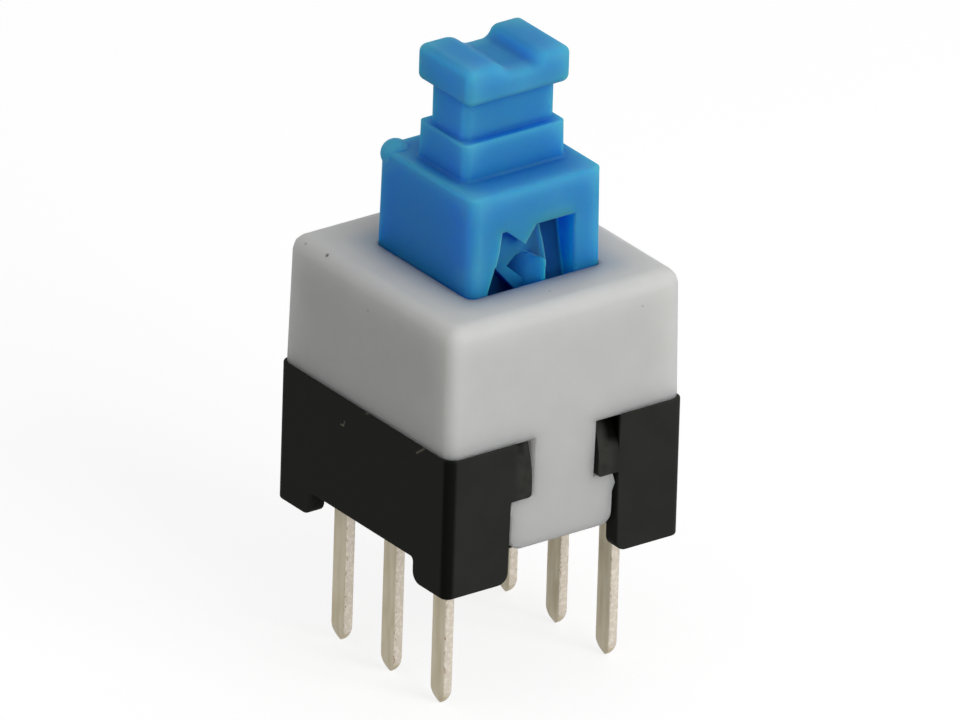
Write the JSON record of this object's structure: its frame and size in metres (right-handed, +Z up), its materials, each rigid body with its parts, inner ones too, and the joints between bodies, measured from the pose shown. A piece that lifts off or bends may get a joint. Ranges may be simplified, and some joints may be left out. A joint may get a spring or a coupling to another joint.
{
  "type": "latching pushbutton switch",
  "caption": "Square board-mount latching pushbutton switch with a stepped plunger, snap-fit housing and base, heart cam lock, coil return spring, sliding contacts and flat solder pins.",
  "frame": {"origin": "middle of the pin pattern on the board plane, under the feet", "axes": "+Z up from the board to the head of the plunger, +X to the right across the face with the cam, +Y to the back"},
  "size_m": [0.0086, 0.0086, 0.0196],
  "materials": {
    "black_moulding": "black moulded plastic with a soft satin sheen",
    "grey_moulding": "light grey moulded plastic, fine matt texture",
    "blue_moulding": "blue moulded plastic, slightly translucent at its edges",
    "spring_steel": "bright drawn wire",
    "tinned_brass": "dull tin plating with worn corners",
    "contact_bronze": "plain spring bronze"
  },
  "bodies": {
    "body": {"base": "black_moulding", "housing": "grey_moulding", "return_spring": "spring_steel", "lock_pin_spring": "spring_steel", "left_normally_open": "tinned_brass", "left_common": "tinned_brass", "left_normally_closed": "tinned_brass", "right_normally_open": "tinned_brass", "right_common": "tinned_brass", "right_normally_closed": "tinned_brass"},
    "plunger": {"plunger": "blue_moulding", "left_moving_contact": "contact_bronze", "right_moving_contact": "contact_bronze"},
    "lock_pin": {"lock_pin": "spring_steel"}
  },
  "joints": [
    {"name": "plunger_press", "type": "slide", "parent": "body", "child": "plunger", "axis": [0, 0, -1], "range_m": [0, 0.0023], "stiffness_N_per_m": 400, "springref_m": -0.003, "deforming": ["return_spring"]},
    {"name": "lock_pin_swing", "type": "hinge", "parent": "body", "child": "lock_pin", "pos_m": [0, -0.00284, 0.0025], "axis": [0, 1, 0], "range_deg": [-6.5, 0.1]}
  ],
  "couplings": [
    {"joint": "lock_pin_swing", "follows": "plunger_press", "rad_per_m": -48}
  ]
}
